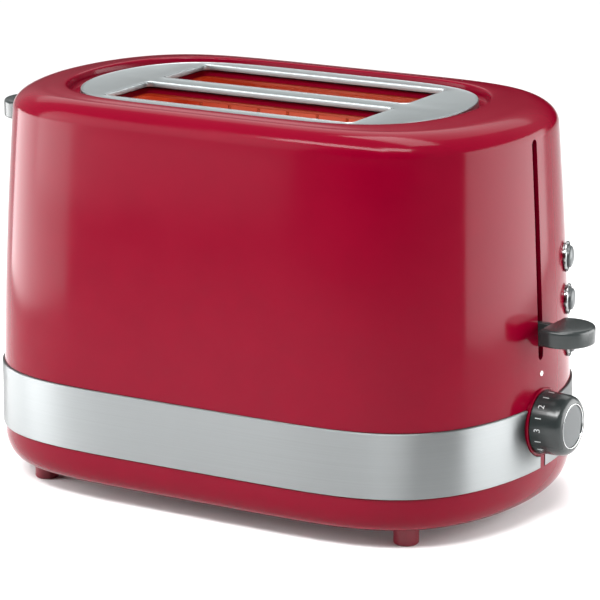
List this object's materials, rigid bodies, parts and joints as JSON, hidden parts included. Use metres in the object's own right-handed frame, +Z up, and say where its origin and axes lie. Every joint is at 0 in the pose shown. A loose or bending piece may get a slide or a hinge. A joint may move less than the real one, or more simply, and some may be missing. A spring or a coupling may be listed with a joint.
{
  "type": "pop up toaster",
  "caption": "Gloss red pop up toaster with a steel band, a sunken top with bread slots in a lifting bun rack, a side lever, a browning dial, push buttons and a crumb tray.",
  "frame": {"origin": "middle of the whole part on the table plane, under the feet", "axes": "+Z up, +X along the body towards the control end, +Y across the slots"},
  "size_m": [0.319, 0.1728, 0.1884],
  "materials": {
    "casing_gloss": "deep red high gloss",
    "base_gloss": "deep red high gloss",
    "band_steel": "horizontally brushed",
    "foot_plastic": "red, satin underside",
    "lens_plastic": "white, translucent",
    "bright_trim": "polished",
    "grey_plastic": "dark grey semi-gloss",
    "black_plastic": "matte",
    "inner_plastic": "plain moulded",
    "chassis_steel": "zinc coated sheet",
    "rack_steel": "satin",
    "wire_steel": "bright wire",
    "mica_card": "mica sheet",
    "heating_ribbon": "glowing resistance ribbon",
    "spring_steel": "bright wire",
    "board_laminate": "solder-masked laminate",
    "copper_winding": "enamelled copper",
    "screw_steel": "zinc plated",
    "tray_steel": "plain sheet"
  },
  "bodies": {
    "housing": {"outer_shell": "casing_gloss", "base_shell": "base_gloss", "steel_band": "band_steel", "feet": "foot_plastic", "indicator_lens": "lens_plastic", "button_bezels": "bright_trim", "cord_gland": "black_plastic", "cord_wrap_hooks": "foot_plastic", "base_screws": "screw_steel", "chassis_floor": "chassis_steel", "front_end_plate": "chassis_steel", "rear_end_plate": "chassis_steel", "chamber_top": "chassis_steel", "side_reflector_left": "chassis_steel", "side_reflector_right": "chassis_steel", "heater_card_left": "mica_card", "heater_card_center": "mica_card", "heater_card_right": "mica_card", "heating_wires_left": "heating_ribbon", "heating_wires_center": "heating_ribbon", "heating_wires_right": "heating_ribbon", "guide_rod": "wire_steel", "mechanism_bracket": "chassis_steel", "magnet_core": "chassis_steel", "magnet_coil": "copper_winding", "potentiometer": "inner_plastic", "push_switches": "inner_plastic", "circuit_board": "board_laminate", "board_components": "black_plastic", "terminal_block": "inner_plastic", "lead_wires": "copper_winding", "rocker_pin": "wire_steel"},
    "carriage": {"carriage_slide": "chassis_steel", "guide_bushes": "inner_plastic", "bread_rack_left": "chassis_steel", "bread_rack_right": "chassis_steel", "lever_knob": "grey_plastic", "armature": "chassis_steel", "lift_spring": "spring_steel"},
    "left_outer_guide": {"guide_cage_left_outer": "wire_steel"},
    "left_inner_guide": {"guide_cage_left_inner": "wire_steel"},
    "right_inner_guide": {"guide_cage_right_inner": "wire_steel"},
    "right_outer_guide": {"guide_cage_right_outer": "wire_steel"},
    "browning_dial": {"browning_knob": "grey_plastic", "knob_cap": "grey_plastic", "knob_ring": "bright_trim"},
    "defrost_key": {"defrost_button": "grey_plastic"},
    "reheat_key": {"reheat_button": "grey_plastic"},
    "cancel_key": {"cancel_button": "grey_plastic"},
    "bun_rack": {"rack_plate": "rack_steel", "rack_leg_front": "chassis_steel", "rack_leg_rear": "chassis_steel"},
    "rocker": {"rocker_arm": "chassis_steel"},
    "rack_lever": {"rack_lever_slide": "chassis_steel", "rack_lever_knob": "grey_plastic"},
    "tray": {"crumb_tray": "tray_steel"}
  },
  "joints": [
    {"name": "carriage_lift", "type": "slide", "parent": "housing", "child": "carriage", "axis": [0, 0, 1], "range_m": [0, 0.078], "deforming": ["lift_spring"]},
    {"name": "left_outer_guide_swing", "type": "hinge", "parent": "housing", "child": "left_outer_guide", "pos_m": [-0.00252, -0.03795, 0.046], "axis": [1, 0, 0], "range_deg": [0, 3]},
    {"name": "left_inner_guide_swing", "type": "hinge", "parent": "housing", "child": "left_inner_guide", "pos_m": [-0.00252, -0.01235, 0.046], "axis": [-1, 0, 0], "range_deg": [0, 3]},
    {"name": "right_inner_guide_swing", "type": "hinge", "parent": "housing", "child": "right_inner_guide", "pos_m": [-0.00252, 0.01235, 0.046], "axis": [1, 0, 0], "range_deg": [0, 3]},
    {"name": "right_outer_guide_swing", "type": "hinge", "parent": "housing", "child": "right_outer_guide", "pos_m": [-0.00252, 0.03795, 0.046], "axis": [-1, 0, 0], "range_deg": [0, 3]},
    {"name": "browning_turn", "type": "hinge", "parent": "housing", "child": "browning_dial", "pos_m": [0.13448, 0, 0.0479], "axis": [1, 0, 0], "range_deg": [-150, 120]},
    {"name": "defrost_press", "type": "slide", "parent": "housing", "child": "defrost_key", "axis": [-0.9563, -0.2924, 0], "range_m": [0, 0.0015], "stiffness_N_per_m": 600, "springref_m": -0.001},
    {"name": "reheat_press", "type": "slide", "parent": "housing", "child": "reheat_key", "axis": [-0.9563, -0.2924, 0], "range_m": [0, 0.0015], "stiffness_N_per_m": 600, "springref_m": -0.001},
    {"name": "cancel_press", "type": "slide", "parent": "housing", "child": "cancel_key", "axis": [-0.9563, -0.2924, 0], "range_m": [0, 0.0015], "stiffness_N_per_m": 600, "springref_m": -0.001},
    {"name": "bun_rack_lift", "type": "slide", "parent": "housing", "child": "bun_rack", "axis": [0, 0, 1], "range_m": [0, 0.022]},
    {"name": "rack_lever_push", "type": "slide", "parent": "housing", "child": "rack_lever", "axis": [0, 0, -1], "range_m": [0, 0.02201]},
    {"name": "rocker_turn", "type": "hinge", "parent": "housing", "child": "rocker", "pos_m": [-0.10052, 0, 0.15], "axis": [1, 0, 0], "range_deg": [0, 66.74]},
    {"name": "tray_pull", "type": "slide", "parent": "housing", "child": "tray", "axis": [-1, 0, 0], "range_m": [0, 0.2]}
  ],
  "couplings": [
    {"joint": "left_outer_guide_swing", "follows": "carriage_lift", "rad_per_m": 0.67128},
    {"joint": "left_inner_guide_swing", "follows": "carriage_lift", "rad_per_m": 0.67128},
    {"joint": "right_inner_guide_swing", "follows": "carriage_lift", "rad_per_m": 0.67128},
    {"joint": "right_outer_guide_swing", "follows": "carriage_lift", "rad_per_m": 0.67128},
    {"joint": "rack_lever_push", "follows": "bun_rack_lift", "ratio": 1},
    {"joint": "rocker_turn", "follows": "bun_rack_lift", "rad_per_m": 52.942}
  ]
}
